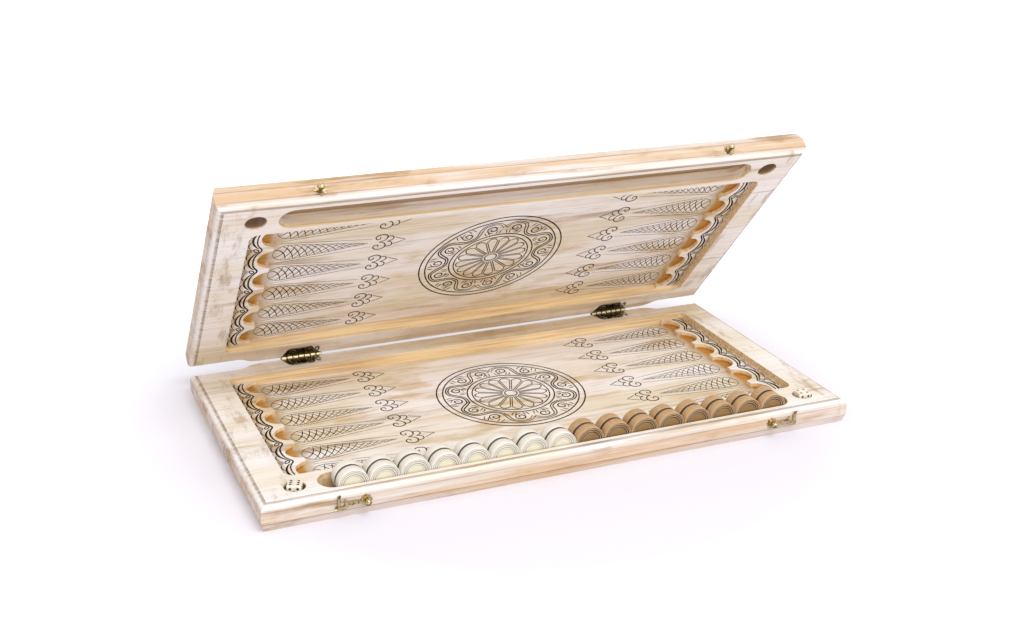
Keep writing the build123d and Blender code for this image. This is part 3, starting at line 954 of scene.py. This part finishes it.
class BACKGAMMON_OT_stage(bpy.types.Operator):
    """Sets the pale floor, the soft lights and the camera"""

    bl_idname = "backgammon.stage"
    bl_label = "Stage"

    def execute(self, context):
        scene = context.scene
        stage = scene.backgammon_stage
        shape = bmesh.new()
        bmesh.ops.create_grid(shape, x_segments=1, y_segments=1, size=40.0)
        ground = bpy.data.meshes.new("studio_floor")
        shape.to_mesh(ground)
        shape.free()
        ground.materials.append(floor_finish())
        floor = bpy.data.objects.new("studio_floor", ground)
        floor.location = (0, 0, -0.0002)
        scene.collection.objects.link(floor)

        world = bpy.data.worlds.new("studio")
        world.use_nodes = True
        tree = world.node_tree
        glow = tree.nodes["Background"]
        glow.inputs["Color"].default_value = (1.0, 1.0, 1.0, 1.0)
        tree.links.new(seen_amount(tree, 0.8), glow.inputs["Strength"])
        scene.world = world

        for name, place, size, power in (
                ("key", (0.1, -1.3, 1.9), 1.2, stage.key_power),
                ("fill", (-0.4, -2.4, 0.7), 1.6, stage.fill_power)):
            lamp = bpy.data.lights.new(name, "AREA")
            lamp.shape = "DISK"
            lamp.size = size
            lamp.energy = power
            light = bpy.data.objects.new(name, lamp)
            light.location = place
            light.rotation_euler = (-Vector(place)).to_track_quat("-Z", "Y").to_euler()
            scene.collection.objects.link(light)

        view = bpy.data.cameras.new("camera")
        view.lens = stage.lens
        view.sensor_width = 36.0
        view.sensor_fit = "HORIZONTAL"
        view.clip_start = 0.01
        camera = bpy.data.objects.new("camera", view)
        camera.location = stage.camera_place
        camera.rotation_euler = Euler(stage.camera_turn, "XYZ")
        scene.collection.objects.link(camera)
        scene.camera = camera
        scene.view_settings.view_transform = "Standard"
        return {"FINISHED"}


def seen_amount(tree, other):
    """1 for what the camera, metal and glass see of the background, and less as a light."""
    path = tree.nodes.new("ShaderNodeLightPath")
    seen = tree.nodes.new("ShaderNodeMath")
    seen.operation = "MAXIMUM"
    tree.links.new(path.outputs["Is Camera Ray"], seen.inputs[0])
    tree.links.new(path.outputs["Is Glossy Ray"], seen.inputs[1])
    through = tree.nodes.new("ShaderNodeMath")
    through.operation = "MAXIMUM"
    tree.links.new(seen.outputs[0], through.inputs[0])
    tree.links.new(path.outputs["Is Transmission Ray"], through.inputs[1])
    amount = tree.nodes.new("ShaderNodeMapRange")
    tree.links.new(through.outputs[0], amount.inputs["Value"])
    amount.inputs["To Min"].default_value = other
    amount.inputs["To Max"].default_value = 1.0
    return amount.outputs["Result"]


def floor_finish():
    """White sweep that keeps the board's shadow and brightens away from it."""
    material = bpy.data.materials.new("studio_sweep")
    material.use_nodes = True
    tree = material.node_tree
    tree.nodes.clear()
    matt = tree.nodes.new("ShaderNodeBsdfDiffuse")
    matt.inputs["Color"].default_value = (0.755, 0.73, 0.79, 1.0)
    point = tree.nodes.new("ShaderNodeTexCoord")
    distance = tree.nodes.new("ShaderNodeVectorMath")
    distance.operation = "LENGTH"
    tree.links.new(point.outputs["Object"], distance.inputs[0])
    rise = tree.nodes.new("ShaderNodeMapRange")
    tree.links.new(distance.outputs["Value"], rise.inputs["Value"])
    rise.inputs["From Min"].default_value = 0.3
    rise.inputs["From Max"].default_value = 0.85
    rise.inputs["To Min"].default_value = 0.08
    rise.inputs["To Max"].default_value = 1.0
    strength = tree.nodes.new("ShaderNodeMath")
    strength.operation = "MULTIPLY"
    tree.links.new(seen_amount(tree, 0.0), strength.inputs[0])
    tree.links.new(rise.outputs["Result"], strength.inputs[1])
    glow = tree.nodes.new("ShaderNodeEmission")
    tree.links.new(strength.outputs[0], glow.inputs["Strength"])
    both = tree.nodes.new("ShaderNodeAddShader")
    output = tree.nodes.new("ShaderNodeOutputMaterial")
    tree.links.new(matt.outputs[0], both.inputs[0])
    tree.links.new(glow.outputs[0], both.inputs[1])
    tree.links.new(both.outputs[0], output.inputs["Surface"])
    return material


class BACKGAMMON_PT_board(bpy.types.Panel):
    """Lists the settings and the steps that dress the board"""

    bl_idname = "BACKGAMMON_PT_board"
    bl_label = "Backgammon Board"
    bl_space_type = "VIEW_3D"
    bl_region_type = "UI"
    bl_category = "Backgammon"

    def draw(self, context):
        for name, group in SETTINGS.items():
            box = self.layout.box()
            box.label(text=group.__doc__)
            for setting in group.__annotations__:
                box.prop(getattr(context.scene, name), setting)
        for step in STEPS:
            self.layout.operator(step.bl_idname)


STEPS = (
    BACKGAMMON_OT_boards,
    BACKGAMMON_OT_petals,
    BACKGAMMON_OT_bands,
    BACKGAMMON_OT_medallions,
    BACKGAMMON_OT_checkers,
    BACKGAMMON_OT_dice,
    BACKGAMMON_OT_fittings,
    BACKGAMMON_OT_stage,
)


def register():
    """Add the settings, the steps and the panel to Blender."""
    for group in (*SETTINGS.values(), *STEPS, BACKGAMMON_PT_board):
        bpy.utils.register_class(group)
    for name, group in SETTINGS.items():
        setattr(bpy.types.Scene, name, bpy.props.PointerProperty(type=group))


def unregister():
    """Take the settings, the steps and the panel out again."""
    for name in SETTINGS:
        delattr(bpy.types.Scene, name)
    for group in reversed((*SETTINGS.values(), *STEPS, BACKGAMMON_PT_board)):
        bpy.utils.unregister_class(group)


def main():
    """Dress the whole board."""
    register()
    bpy.ops.backgammon.boards()
    bpy.ops.backgammon.petals()
    bpy.ops.backgammon.bands()
    bpy.ops.backgammon.medallions()
    bpy.ops.backgammon.checkers()
    bpy.ops.backgammon.dice()
    bpy.ops.backgammon.fittings()
    bpy.ops.backgammon.stage()


if __name__ == "__main__":
    main()
